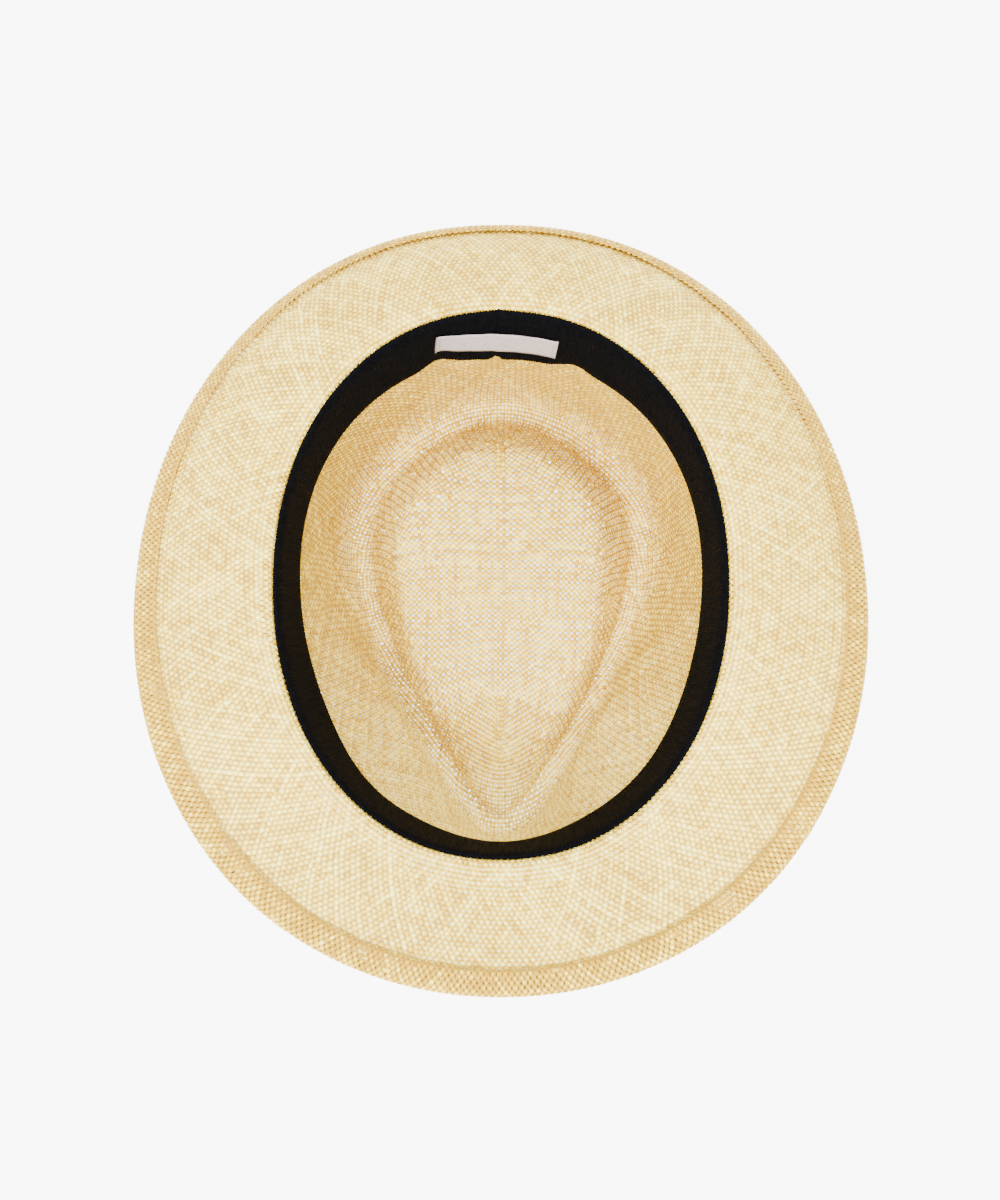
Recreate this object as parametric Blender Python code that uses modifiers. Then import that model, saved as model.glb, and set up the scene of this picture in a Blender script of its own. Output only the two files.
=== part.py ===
"""A straw fedora with a teardrop crown, lying on its crown with the head opening up.

Metres, +Z up. The front of the hat is toward -Y and the wearer's left is -X.
The crown's ridge rests on Z = 0, and the brim's box is centred on the Z axis.
"""

import math

import bmesh
import bpy
import numpy as np

# Driving sizes of the straw, all measured on its outer face, the one away from the head.
CROWN_LENGTH = 0.205  # at the brim break, front to back
CROWN_WIDTH = 0.1692
CROWN_HEIGHT = 0.108  # from the brim break to the ridge
DENT_DEPTH = 0.026  # of the teardrop dent, at its middle
BRIM_WIDTH = 0.0515  # along its slope, from the break
WALL = 0.0012
HEM_WIDTH = 0.009  # the edge folded back over the brim and sewn
HEM_THICKNESS = 0.003  # both layers of the fold and the space between them
BREAK_RADIUS = 0.003  # between crown and brim
RIDGE_LAND = 0.004  # the flat of the ridge that the hat lies on
RIDGE_ROUND = 0.007  # from the middle of the ridge out to the crown's side
RIDGE_FALL = 0.0065  # how far the rounding drops over that distance

# Ribbons.
GAP = 0.0003  # left between pieces that touch
BAND_GAP = 0.0005  # the outer band's, over a wall that is round both ways
RIBBON = 0.001  # thickness of the sweatband, the outer band and the bow
SWEATBAND_HEIGHT = 0.0325
SWEATBAND_TOP = 0.0005  # below the brim break
STAND_OFF = 0.0023  # of the sweatband's free edge from the crown's wall
END_STAND_OFF = 0.0024  # more of it at the front, and twice this at the back
HATBAND_HEIGHT = 0.036
HATBAND_BASE = 0.0045  # below the brim break
LABEL_LENGTH = 0.0515
LABEL_HEIGHT = 0.0135
LABEL_THICKNESS = 0.0008
LABEL_SET_BACK = 0.006  # from the sweatband's free edge
LABEL_PLACE = 0.502  # share of the way round from the front; 0.5 is the exact back
BOW_LENGTH = 0.062
BOW_HEIGHT = 0.030
BOW_PLACE = 0.53  # along the left side, as a share of the way from front to back
BOW_RISE = 0.0032  # how far a loop stands off the outer band
KNOT_WIDTH = 0.013

BOW_WAIST = 0.62  # its height at the knot, as a share of BOW_HEIGHT
BOW_SPREAD = 0.6  # how far toward its ends it reaches its full height, as a share
BOW_CREST = 0.2  # half the height of a loop's flat top, as a share of the bow's
BOW_END_RISE = 0.25  # rise at a loop's ends and at the knot, as shares of BOW_RISE
KNOT_RISE = 1.15

# How finely the shapes are divided.
AROUND = 56
CROWN_STEPS = (2, 2, 2, 2, 1, 3, 2, 2, 2, 1, 1)  # between the crown's key sections
BEND_STEPS = 3
BRIM_STEPS = 7
FOLD_STEPS = 4
HEM_STEPS = 2
BOW_STEPS = 20
LABEL_STEPS = 8
FINE = 8  # steps in one of the others, where a length or a place is measured
OVAL_STEPS = 2880

# Half of the hat in nine even steps, front to back. The dent's edge and the ridge are
# shares of half the crown's width and length, rise is a share of DENT_DEPTH, pinch is how
# far the wall is pushed in below the ridge (1 is the most), and the brim's slopes at its
# break and at its edge are in degrees, positive toward the wearer's face.
COLUMNS = ("dent_x", "dent_y", "rise", "ridge_x", "ridge_y", "pinch", "root", "edge")
SECTIONS = (
    (0.000, -0.715, 0.36, 0.000, -0.780, 0.15, 14, 19),
    (0.185, -0.545, 0.50, 0.213, -0.601, 0.70, 12, 15),
    (0.330, -0.350, 0.66, 0.368, -0.380, 1.00, 5, 0),
    (0.428, -0.137, 0.78, 0.508, -0.151, 0.65, 1, -17),
    (0.470, 0.059, 0.84, 0.611, 0.088, 0.15, -4, -36),
    (0.475, 0.263, 0.86, 0.651, 0.341, 0.00, -12, -51),
    (0.396, 0.454, 0.86, 0.533, 0.576, 0.00, -20, -62),
    (0.219, 0.590, 0.86, 0.278, 0.746, 0.00, -26, -69),
    (0.000, 0.634, 0.86, 0.000, 0.820, 0.00, -29, -72),
)
DENT_CENTRE = 0.31  # the middle of the dent's floor, as a share of half the crown's length
OVAL_POWER = 2.12  # 2 is an ellipse; the head opening is a little fuller
BRIM_CURL = 1.6  # above 1, the slope changes more toward the edge

# The dent's floor: how far out a ring lies from its middle to its edge, and how far the
# floor has gone from DENT_DEPTH to the edge's rise, both as shares.
DENT_RINGS = (
    (0.00, 0.00),
    (0.50, 0.35),
    (0.93, 1.00),
)
DENT_WALL = 0.45  # height halfway from the dent's edge to the ridge, as a share of the rise

# The crown's wall from the shoulder of the ridge to the break. The columns are the height
# above the ridge as a share of CROWN_HEIGHT, how far out toward the break the wall stands
# as a share, and how much of that the pinch takes away.
WALL_RINGS = (
    (0.20, 0.26, 0.25),
    (0.42, 0.53, 0.20),
    (0.66, 0.80, 0.08),
    (0.88, 0.955, 0.00),
)
SHOULDER = 6  # how many key sections come before the shoulder

STRAW = (0.80, 0.68, 0.44, 1)
BLACK = (0.012, 0.010, 0.009, 1)
PALE = (0.78, 0.74, 0.72, 1)


def clear_scene():
    for obj in list(bpy.data.objects):
        bpy.data.objects.remove(obj)


def column(name):
    """One column of the sections, front to back to front again round the wearer's right."""
    half = np.array([row[COLUMNS.index(name)] for row in SECTIONS], float)
    mirror = -1 if name.endswith("_x") else 1
    return np.concatenate([half, mirror * half[-2:0:-1]])


def around(name, share):
    """A column read at shares of the way round, on a smooth closed curve (cubic spline)."""
    values = column(name)
    count = len(values)
    step = np.eye(count)
    bend = 4 * step + np.roll(step, 1, axis=1) + np.roll(step, -1, axis=1)
    second = np.roll(values, -1) - 2 * values + np.roll(values, 1)
    curve = np.linalg.solve(bend, 6 * second)
    place = np.mod(share, 1) * count
    low = np.floor(place).astype(int) % count
    high = (low + 1) % count
    t = place - np.floor(place)
    straight = values[low] * (1 - t) + values[high] * t
    return straight + (((1 - t) ** 3 - (1 - t)) * curve[low] + (t**3 - t) * curve[high]) / 6


def oval(share):
    """The break's outline, evenly spaced along its length, from the front round +X."""
    turn = np.linspace(0, 2 * math.pi, OVAL_STEPS + 1)
    side, ahead = np.sin(turn), -np.cos(turn)
    power = 2 / OVAL_POWER
    x = CROWN_WIDTH / 2 * np.sign(side) * np.abs(side) ** power
    y = CROWN_LENGTH / 2 * np.sign(ahead) * np.abs(ahead) ** power
    along = np.concatenate([[0], np.cumsum(np.hypot(np.diff(x), np.diff(y)))])
    at = np.mod(share, 1) * along[-1]
    return np.stack([np.interp(at, along, x), np.interp(at, along, y)], axis=-1)


def length_round():
    """How long the break's outline is."""
    return np.linalg.norm(np.diff(oval(np.linspace(0, 1, OVAL_STEPS)), axis=0), axis=1).sum()


def ridge(share):
    x = around("ridge_x", share) * CROWN_WIDTH / 2
    y = around("ridge_y", share) * CROWN_LENGTH / 2
    return np.stack([x, y], axis=-1)


def dent_edge(share):
    x = around("dent_x", share) * CROWN_WIDTH / 2
    y = around("dent_y", share) * CROWN_LENGTH / 2
    return np.stack([x, y], axis=-1)


def outward(outline, share):
    """The outline's unit normals in plan, pointing away from the hat's middle."""
    near = 1e-4
    along = outline(share + near) - outline(share - near)
    along /= np.linalg.norm(along, axis=-1, keepdims=True)
    return np.stack([along[:, 1], -along[:, 0]], axis=-1)


def ring(plan, height):
    """Points in space from a plan and one height or a height for each."""
    return np.column_stack([plan, np.broadcast_to(height, len(plan))])


def crown_rings(share):
    """The crown's key sections from the middle of the dent out to the brim break."""
    middle = np.array([0, DENT_CENTRE * CROWN_LENGTH / 2])
    edge, top, foot = dent_edge(share), ridge(share), oval(share)
    rise = around("rise", share) * DENT_DEPTH
    inner_land = top - RIDGE_LAND / 2 * outward(ridge, share)
    outer_land = top + RIDGE_LAND / 2 * outward(ridge, share)
    shoulder = top + RIDGE_ROUND * outward(ridge, share)
    pinch = around("pinch", share)
    rings = []
    for out, sunk in DENT_RINGS:
        rings.append(ring(middle + out * (edge - middle), DENT_DEPTH + sunk * (rise - DENT_DEPTH)))
    rings.append(ring((edge + inner_land) / 2, DENT_WALL * rise))
    rings.append(ring(inner_land, 0))
    rings.append(ring(outer_land, 0))
    rings.append(ring(shoulder, RIDGE_FALL))
    for height, out, pinched in WALL_RINGS:
        out_here = (out - pinched * pinch)[:, None]
        rings.append(ring(shoulder + out_here * (foot - shoulder), height * CROWN_HEIGHT))
    rings.append(ring(foot, CROWN_HEIGHT - BREAK_RADIUS))
    return np.stack(rings, axis=1)


def smooth_through(points, divisions):
    """Points on a curve through each row of key points that never overshoots them.

    divisions gives how many steps each span takes. The curve is a cubic whose slope at a
    key point is the harmonic mean of the spans' slopes there, or flat at a turning point.
    """
    spans = np.diff(points, axis=1)
    width = np.maximum(np.linalg.norm(spans, axis=2), 1e-9)[:, :, None]
    slopes = spans / width
    before, after = slopes[:, :-1], slopes[:, 1:]
    same = before * after > 0
    weight_a = 2 * width[:, 1:] + width[:, :-1]
    weight_b = width[:, 1:] + 2 * width[:, :-1]
    safe_before = np.where(same, before, 1)
    safe_after = np.where(same, after, 1)
    mean = (weight_a + weight_b) / (weight_a / safe_before + weight_b / safe_after)
    inner = np.where(same, mean, 0)
    tangents = np.concatenate([slopes[:, :1], inner, slopes[:, -1:]], axis=1)
    out = [points[:, :1]]
    for k, steps in enumerate(divisions):
        for t in np.arange(1, steps + 1) / steps:
            start, end = points[:, k], points[:, k + 1]
            pull = width[:, k] * (t * (1 - t) ** 2 * tangents[:, k])
            push = width[:, k] * (t * t * (t - 1) * tangents[:, k + 1])
            mix = t * t * (3 - 2 * t)
            out.append(((1 - mix) * start + mix * end + pull + push)[:, None])
    return np.concatenate(out, axis=1)


def brim_slope(share, t):
    """The brim's slope in radians at t of its width, from 0 at the break to 1 at the edge."""
    root, edge = around("root", share), around("edge", share)
    return np.radians(root + (edge - root) * t**BRIM_CURL)


def brim_points(share, steps, bend_steps, fold_steps, hem_steps):
    """The bend at the break, the brim, its folded edge and the hem, on the outer face."""
    foot, out = oval(share), outward(oval, share)
    path = []
    root = np.radians(around("root", share))
    for k in range(1, bend_steps + 1):
        turn = (math.pi / 2 - root) * k / bend_steps
        reach = BREAK_RADIUS * (1 - np.cos(turn))
        height = CROWN_HEIGHT - BREAK_RADIUS + BREAK_RADIUS * np.sin(turn)
        path.append((reach, height))
    width = BRIM_WIDTH - BREAK_RADIUS
    count = steps * FINE
    for k in range(count):
        slope = brim_slope(share, (k + 0.5) / count)
        reach = reach + np.cos(slope) * width / count
        height = height + np.sin(slope) * width / count
        if (k + 1) % FINE == 0:
            path.append((reach, height))
    half = HEM_THICKNESS / 2
    last = brim_slope(share, 1.0)
    centre_reach = reach - half * np.sin(last)
    centre_height = height + half * np.cos(last)
    for k in range(1, fold_steps + 1):
        turn = last - math.pi / 2 + math.pi * k / fold_steps
        reach = centre_reach + half * np.cos(turn)
        height = centre_height + half * np.sin(turn)
        path.append((reach, height))
    for k in range(hem_steps):
        t = 1 - (k + 0.5) / hem_steps * HEM_WIDTH / width
        slope = brim_slope(share, t)
        reach = reach - np.cos(slope) * HEM_WIDTH / hem_steps
        height = height - np.sin(slope) * HEM_WIDTH / hem_steps
        path.append((reach, height))
    rings = [ring(foot + r[:, None] * out, h) for r, h in path]
    return np.stack(rings, axis=1)


def centring():
    """How far +Y the hat moves so that its box is centred on the Z axis."""
    front_and_back = np.array([0.0, 0.5])
    ends = brim_points(front_and_back, BRIM_STEPS, BEND_STEPS, FOLD_STEPS, HEM_STEPS)[:, :, 1]
    return -(ends.min() + ends.max()) / 2


def straw_surface(share):
    """The outer face of the straw: one row for each share, from the dent to the hem's end."""
    crown = smooth_through(crown_rings(share), CROWN_STEPS)
    brim = brim_points(share, BRIM_STEPS, BEND_STEPS, FOLD_STEPS, HEM_STEPS)
    points = np.concatenate([crown, brim], axis=1)
    points[:, :, 1] += centring()
    return points


def wall_plan(share, height, inward):
    """The crown's side in plan at a height, moved inward from its outer face."""
    spans = len(WALL_RINGS) + 1
    rings = smooth_through(crown_rings(share), (1,) * SHOULDER + (FINE,) * spans)
    wall = rings[:, SHOULDER:]
    plan = np.array([
        [np.interp(height, row[:, 2], row[:, axis]) for axis in (0, 1)] for row in wall
    ])
    plan[:, 1] += centring()
    return plan - inward * outward(oval, share)


def material(name, colour, roughness):
    made = bpy.data.materials.new(name)
    made.use_nodes = True
    shader = made.node_tree.nodes["Principled BSDF"]
    shader.inputs["Base Color"].default_value = colour
    shader.inputs["Roughness"].default_value = roughness
    return made


def new_object(name, vertices, faces, finish, collection):
    mesh = bpy.data.meshes.new(name)
    mesh.from_pydata([tuple(v) for v in vertices], [], faces)
    mesh.materials.append(finish)
    obj = bpy.data.objects.new(name, mesh)
    collection.objects.link(obj)
    shell = bmesh.new()
    shell.from_mesh(mesh)
    bmesh.ops.recalc_face_normals(shell, faces=shell.faces)
    shell.to_mesh(mesh)
    shell.free()
    mesh.shade_smooth()
    mesh.set_sharp_from_angle(angle=math.radians(50))
    return obj


def closed_strip(rows):
    """Vertices and faces of a closed loop of like sections, each a closed polygon."""
    count, corners = rows.shape[:2]
    faces = []
    for i in range(count):
        for j in range(corners):
            a, b = i * corners + j, i * corners + (j + 1) % corners
            c = (i + 1) % count * corners + (j + 1) % corners
            d = (i + 1) % count * corners + j
            faces.append((a, b, c, d))
    return rows.reshape(-1, 3), faces


def open_strip(rows):
    """The same for a strip with two ends, which are capped."""
    count, corners = rows.shape[:2]
    faces = []
    for i in range(count - 1):
        for j in range(corners):
            a, b = i * corners + j, i * corners + (j + 1) % corners
            faces.append((a, b, b + corners, a + corners))
    faces.append(tuple(range(corners)))
    faces.append(tuple(range((count - 1) * corners, count * corners))[::-1])
    return rows.reshape(-1, 3), faces


def hat_body(finish, collection):
    """Crown, brim and hem: one sheet of straw, an open surface with a thickness."""
    share = np.arange(AROUND) / AROUND
    points = straw_surface(share)
    rings = points.shape[1]
    vertices = [points[0, 0]] + [points[i, j] for i in range(AROUND) for j in range(1, rings)]
    faces = []
    for i in range(AROUND):
        here, there = 1 + i * (rings - 1), 1 + (i + 1) % AROUND * (rings - 1)
        faces.append((0, here, there))
        for j in range(rings - 2):
            faces.append((here + j, here + j + 1, there + j + 1, there + j))
    obj = new_object("hat_body", vertices, faces, finish, collection)
    mesh = obj.data
    middle_face = mesh.polygons[0]
    if middle_face.normal.z > 0:
        mesh.flip_normals()
    thick = obj.modifiers.new("straw", "SOLIDIFY")
    thick.thickness = WALL
    thick.offset = -1
    thick.use_even_offset = True
    return obj


def sweatband_sections(share):
    """Top and foot of the sweatband's outer face, which hangs clear of the crown's wall."""
    top_height = CROWN_HEIGHT - SWEATBAND_TOP
    foot_height = top_height - SWEATBAND_HEIGHT
    at_break = CROWN_HEIGHT - BREAK_RADIUS
    top = ring(wall_plan(share, at_break, WALL + GAP), top_height)
    to_back = (1 - np.cos(2 * math.pi * share)) / 2
    stand_off = STAND_OFF + END_STAND_OFF * ((1 - to_back) ** 6 + 2 * to_back**6)
    plan = wall_plan(share, foot_height, WALL) - stand_off[:, None] * outward(oval, share)
    return top, ring(plan, foot_height)


def sweatband(finish, collection):
    share = np.arange(AROUND) / AROUND
    top, foot = sweatband_sections(share)
    inward = np.column_stack([-RIBBON * outward(oval, share), np.zeros(AROUND)])
    middle = 0.5 * (top + foot)
    rows = np.stack([top, middle, foot, foot + inward, middle + inward, top + inward], axis=1)
    return new_object("sweatband", *closed_strip(rows), finish, collection)


def label(finish, collection):
    """The bare woven label sewn on the sweatband's inner face at the back."""
    half = LABEL_LENGTH / 2 / length_round()
    share = LABEL_PLACE + np.linspace(-half, half, LABEL_STEPS + 1)
    top, foot = sweatband_sections(share)
    out = np.column_stack([outward(oval, share), np.zeros(len(share))])
    slope = (top - foot) / np.linalg.norm(top - foot, axis=1, keepdims=True)
    low = foot + LABEL_SET_BACK * slope
    high = low + LABEL_HEIGHT * slope
    near, far = RIBBON + GAP, RIBBON + GAP + LABEL_THICKNESS
    rows = np.stack([low - near * out, high - near * out, high - far * out, low - far * out], axis=1)
    return new_object("size_label", *open_strip(rows), finish, collection)


def hatband_face(share, height, off):
    """A point of the outer band at a height, moved out from the straw's outer face."""
    return ring(wall_plan(share, height, -off), height)


def hatband(finish, collection):
    share = np.arange(AROUND) / AROUND
    foot = CROWN_HEIGHT - HATBAND_BASE
    heights = np.linspace(foot, foot - HATBAND_HEIGHT, 4)
    near = [hatband_face(share, h, BAND_GAP) for h in heights]
    far = [hatband_face(share, h, BAND_GAP + RIBBON) for h in heights]
    rows = np.stack(near + far[::-1], axis=1)
    return new_object("hatband", *closed_strip(rows), finish, collection)


def bow_outline(t):
    """How tall the bow is at t of its length: pulled in at the knot, full at its ends."""
    from_knot = np.abs(2 * t - 1)
    return BOW_HEIGHT * (BOW_WAIST + (1 - BOW_WAIST) * np.minimum(1, from_knot / BOW_SPREAD))


def bow(finish, collection):
    """The flat bow on the wearer's left: two loops pressed flat, and the knot between them."""
    t = np.linspace(0, 1, BOW_STEPS + 1)
    share = 1 - BOW_PLACE / 2 + (t - 0.5) * BOW_LENGTH / length_round()
    tall = bow_outline(t)
    middle = CROWN_HEIGHT - HATBAND_BASE - HATBAND_HEIGHT / 2
    near = BAND_GAP + RIBBON + GAP
    knot = np.abs(t - 0.5) * BOW_LENGTH < KNOT_WIDTH / 2
    puff = np.maximum(1 - (2 * np.abs(2 * t - 1) - 1) ** 2, BOW_END_RISE)
    far = near + RIBBON + BOW_RISE * np.where(knot, KNOT_RISE, puff)
    flat = np.full(len(t), near)
    edge = flat + RIBBON
    section = [(lift, flat) for lift in (-0.5, -0.25, 0, 0.25, 0.5)]
    section += [(0.5, edge), (BOW_CREST, far), (-BOW_CREST, far), (-0.5, edge)]
    rows = []
    for lift, off in section:
        heights = middle + lift * tall
        rows.append([
            hatband_face(share[i : i + 1], heights[i], off[i])[0] for i in range(len(t))
        ])
    return new_object("bow", *open_strip(np.stack(rows, axis=1)), finish, collection)


def build():
    clear_scene()
    collection = bpy.data.collections.new("straw_fedora")
    bpy.context.scene.collection.children.link(collection)
    straw = material("straw", STRAW, 0.65)
    black = material("black_ribbon", BLACK, 0.8)
    pale = material("pale_ribbon", PALE, 0.7)
    hat_body(straw, collection)
    sweatband(black, collection)
    label(pale, collection)
    hatband(black, collection)
    bow(black, collection)


build()
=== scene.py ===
"""A straw fedora lying on its crown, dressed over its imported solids.

Metres, +Z up. The front of the hat is toward -Y and the wearer's left is -X. The straw is
woven here strand by strand on the same surface that the solids have, so light comes
through its real holes.
"""

import math

import bpy
import numpy as np
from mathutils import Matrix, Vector
from mathutils.bvhtree import BVHTree


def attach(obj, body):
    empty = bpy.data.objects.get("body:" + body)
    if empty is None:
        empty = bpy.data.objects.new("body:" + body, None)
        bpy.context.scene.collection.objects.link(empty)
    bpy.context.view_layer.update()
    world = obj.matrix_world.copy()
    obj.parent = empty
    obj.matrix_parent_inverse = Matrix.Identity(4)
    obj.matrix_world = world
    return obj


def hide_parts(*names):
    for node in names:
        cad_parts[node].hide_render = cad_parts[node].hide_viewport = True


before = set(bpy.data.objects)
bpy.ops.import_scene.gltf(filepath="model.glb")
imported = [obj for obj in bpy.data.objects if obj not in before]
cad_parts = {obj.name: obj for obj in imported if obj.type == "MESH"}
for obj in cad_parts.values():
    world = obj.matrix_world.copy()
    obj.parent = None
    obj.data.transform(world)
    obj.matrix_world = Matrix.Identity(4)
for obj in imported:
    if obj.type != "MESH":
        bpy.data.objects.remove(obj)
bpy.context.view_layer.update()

# The hat's sizes and sections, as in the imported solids.
CROWN_LENGTH = 0.205
CROWN_WIDTH = 0.1692
CROWN_HEIGHT = 0.108
DENT_DEPTH = 0.026
BRIM_WIDTH = 0.0515
WALL = 0.0012
HEM_WIDTH = 0.009
HEM_THICKNESS = 0.003
BREAK_RADIUS = 0.003
RIDGE_LAND = 0.004
RIDGE_ROUND = 0.007
RIDGE_FALL = 0.0065
GAP = 0.0003
BAND_GAP = 0.0005
RIBBON = 0.001
SWEATBAND_HEIGHT = 0.0325
SWEATBAND_TOP = 0.0005
STAND_OFF = 0.0023
END_STAND_OFF = 0.0024
HATBAND_HEIGHT = 0.036
HATBAND_BASE = 0.0045
LABEL_LENGTH = 0.0515
LABEL_HEIGHT = 0.0135
LABEL_SHOWN = 0.92  # of its height; the solid's is the full one
LABEL_SET_BACK = 0.006
LABEL_LIFTS = (0.0028, 0.0015, 0.0007)  # higher than that: all of it, by place and by its square
LABEL_PLACE = 0.502
BOW_LENGTH = 0.062
BOW_HEIGHT = 0.030
BOW_PLACE = 0.53
KNOT_WIDTH = 0.013
BOW_WAIST = 0.62
BOW_SPREAD = 0.6
COLUMNS = ("dent_x", "dent_y", "rise", "ridge_x", "ridge_y", "pinch", "root", "edge")
SECTIONS = (
    (0.000, -0.715, 0.36, 0.000, -0.780, 0.15, 14, 19),
    (0.185, -0.545, 0.50, 0.213, -0.601, 0.70, 12, 15),
    (0.330, -0.350, 0.66, 0.368, -0.380, 1.00, 5, 0),
    (0.428, -0.137, 0.78, 0.508, -0.151, 0.65, 1, -17),
    (0.470, 0.059, 0.84, 0.611, 0.088, 0.15, -4, -36),
    (0.475, 0.263, 0.86, 0.651, 0.341, 0.00, -12, -51),
    (0.396, 0.454, 0.86, 0.533, 0.576, 0.00, -20, -62),
    (0.219, 0.590, 0.86, 0.278, 0.746, 0.00, -26, -69),
    (0.000, 0.634, 0.86, 0.000, 0.820, 0.00, -29, -72),
)
DENT_CENTRE = 0.31
OVAL_POWER = 2.12
BRIM_CURL = 1.6
DENT_RINGS = ((0.00, 0.00), (0.50, 0.35), (0.93, 1.00))
DENT_WALL = 0.45
WALL_RINGS = (
    (0.20, 0.26, 0.25),
    (0.42, 0.53, 0.20),
    (0.66, 0.80, 0.08),
    (0.88, 0.955, 0.00),
)
SHOULDER = 6
OVAL_STEPS = 2880
BOX_FACES = ((0, 1, 3, 2), (4, 6, 7, 5), (0, 4, 5, 1), (2, 3, 7, 6), (0, 2, 6, 4), (1, 5, 7, 3))
BEND_STEPS = 8
BRIM_STEPS = 120
FOLD_STEPS = 12
HEM_STEPS = 24

# The sweatband's lower edge stands a little further in or out than the solid's, in soft
# bumps. Each has its amount, its middle by length from the label's middle and its reach.
BAND_EDGE = (
    (0.0016, -0.001, 0.018),
    (-0.0022, 0.027, 0.007),
    (0.0009, -0.022, 0.009),
    (-0.0016, -0.034, 0.007),
    (-0.0034, 0.235, 0.032),
    (-0.0029, -0.2295, 0.038),
)
NOTCH_ASIDE = 0.0014  # the notch of its seam, from the label's middle
NOTCH_REACH = 0.005
NOTCH_DEPTH = 0.0016
SEAM_DEPTH = 0.0004  # and the seam itself
SEAM_REACH = 0.0006
SEAM_BUMP = 0.0004  # which lifts the ribbon's upper edge
SEAM_BUMP_REACH = 0.0045
TOP_FLARE = 0.0011  # of the upper edge outward
FLARE_REACH = 0.07  # of the height

# The weave. Its strands start as a square grid in the middle of the dent and spread from
# there as rings of crossings, each ring with the count that its table row leads up to.
GRID_X = 0.0024  # between the strands of the middle that run front to back
GRID_Y = 0.0019
GRID_START = 0.10  # the grid's middle, as a share of half the crown's length
GRID_RINGS = 22
LADDER_RINGS = 34  # the front and back arms of the grid go on to here
FIXED_RINGS = 8  # rings of the grid that stay exactly square
RINGS = ((22, 88), (36, 144), (60, 212), (80, 250), (102, 280), (118, 330), (136, 385), (144, 395))
LAST_RING = 144
STRAND_WIDTH = 0.00134
STRAND_THICK = 0.00030
WIDTH_OF_ITS_OWN = 0.3  # share of a strand's width that doesn't follow the spacing there
WIDTH_BY_SPACING = 0.7
WIDTH_LIMITS = (0.85, 1.5)
WIDTH_SPREAD = (0.06, 0.05)  # at random, between strands and along one
LIFT = 0.00021  # how far a strand passes over and under the middle of the straw
SEED = 5
SECTORS = 40  # parts of the way round, which share out the new strands
SPARED = (0.12, 0.3, 0.12)  # how much less a sector and the two beside it get after one
SPARED_KEPT = 0.75  # of that from one ring to the next
GAP_SPREAD = 0.06  # random share of a gap's width when the widest are sought
EVENED = 0.05  # of the way to even places, for a ring as it is set out

# The pull that settles the crossings.
ROUNDS = 500
MEASURED_EACH = 5  # rounds
SLACK = 0.88  # of the mean step between crossings, the length that the strands pull to
FOLD_PULL = 0.6  # of that, across a fold
STEP_SIZE = 0.8  # of the way that the strands pull, in one round
SPEED_KEPT = 0.85
FOLD_WIDER = 0.45  # added to the spacing where a new strand starts, which closes the hole
BESIDE_FOLD_WIDER = 0.3

# The straw's colour, with light and shade painted into it. A tone is a number of steps up or
# down its colour ramp. The tables run along a meridian from the dent's middle to the hem's end:
# a place, steps past it, a value.
TONE_STEP = 0.105  # of the ramp
# FLOAT_LIGHT is a painted highlight: lighter at each crossing, darker between them.
FLOAT_LIGHT = 0.30  # of the ramp, from a strand's low places up to its high ones
# Painted shade over the crown's inside, a little lighter at its ridge; a painted highlight on the
# fold at the brim's edge; the hem darker, darkest at its inner edge, where painted shade goes with
# its cut strand ends.
PAINTED_LIGHT_ALONG = (
    ("middle", 0, -2.0),
    ("ridge", 0, -1.5),
    ("ridge", 30, -2.5),
    ("foot", -8, -2.7),
    ("foot", 3, 0),
    ("edge", -2, 0),
    ("edge", 3, 0.4),
    ("edge", 6, -2.8),
    ("end", -7, -3.5),
    ("end", -3, -5.5),
)
# Painted light: steps added to the crown's walls, from its ridge down to the foot, at the front.
FRONT_LIGHT = (("ridge", -30, 0), ("ridge", 0, 4), ("foot", -8, 4), ("foot", 3, 0))
SPECKLE = (("foot", 0, 0.9), ("edge", 0, 0.9), ("edge", 6, 1.3), ("end", 0, 1.3))
RIDGE_PLACE = 0.42  # of the crown's meridian
TONE_RUN = 12  # crossings between the random tones along a strand
TONE_ALONG = 0.6  # and how far these go
PATCHES = (240, 3)  # scale and detail of the noise
GRAIN = (3200, 2)

AROUND = 448  # meridians of the measured surface
STEP = 0.0005  # along them
SPAN_STEPS = 14  # between two of the crown's rings, before they are set evenly
RAY_HEIGHT = 0.2  # from which rays find the dent
RIB = 0.00115  # between the ribs of the ribbons
RIBBON_LEVELS = (0.0, 0.012, 0.035, 0.2, 0.4, 0.6, 0.8, 0.965, 0.988, 1.0)

# Colour ramps, as places and linear colours.
STRAW_STOPS = ((0.0, (0.46, 0.255, 0.014)), (0.5, (0.78, 0.545, 0.05)), (1.0, (0.99, 0.87, 0.26)))
GLOSS_STOPS = ((0.3, (0.5, 0.5, 0.5)), (0.7, (0.75, 0.75, 0.75)))
BLACK_STOPS = ((0.3, (0.0008, 0.0009, 0.0013)), (0.7, (0.0019, 0.0020, 0.0028)))
PALE_STOPS = ((0.3, (0.33, 0.275, 0.255)), (0.7, (0.43, 0.365, 0.345)))
THREAD_STOPS = ((0.3, (0.14, 0.12, 0.10)), (0.7, (0.28, 0.24, 0.21)))

# The floor glows evenly, and less so in the hat's own shade: an oval under the crown and a
# ring round it under the brim. Each size is the oval's middle, half width and half length.
FLOOR_HALF = 3.0
FLOOR_GLOW = 8.3
FLOOR_REFLECTS = 0.08
CROWN_SHADE = (0.46, 0.46, 0.46)  # what is left of the glow
BRIM_SHADE = (0.21, 0.165, 0.09)
SHADE_INNER = (0.0155, 0.0955, 0.115)
SHADE_OUTER = (0.0105, 0.1477, 0.155)
INNER_FADE = (0.97, 1.06)  # where the oval's mask starts and ends, as shares of its size
OUTER_FADE = (0.995, 0.94)

# Lamps, each with its place, size and power, and the even light of the room.
LAMPS = (("key", (-0.4, -0.95, 1.75), 1.2, 148), ("fill", (0.5, 0.8, 1.8), 1.4, 62))
LAMP_TARGET = (0, 0, 0.05)
ROOM_LIGHT = 1.7

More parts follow.
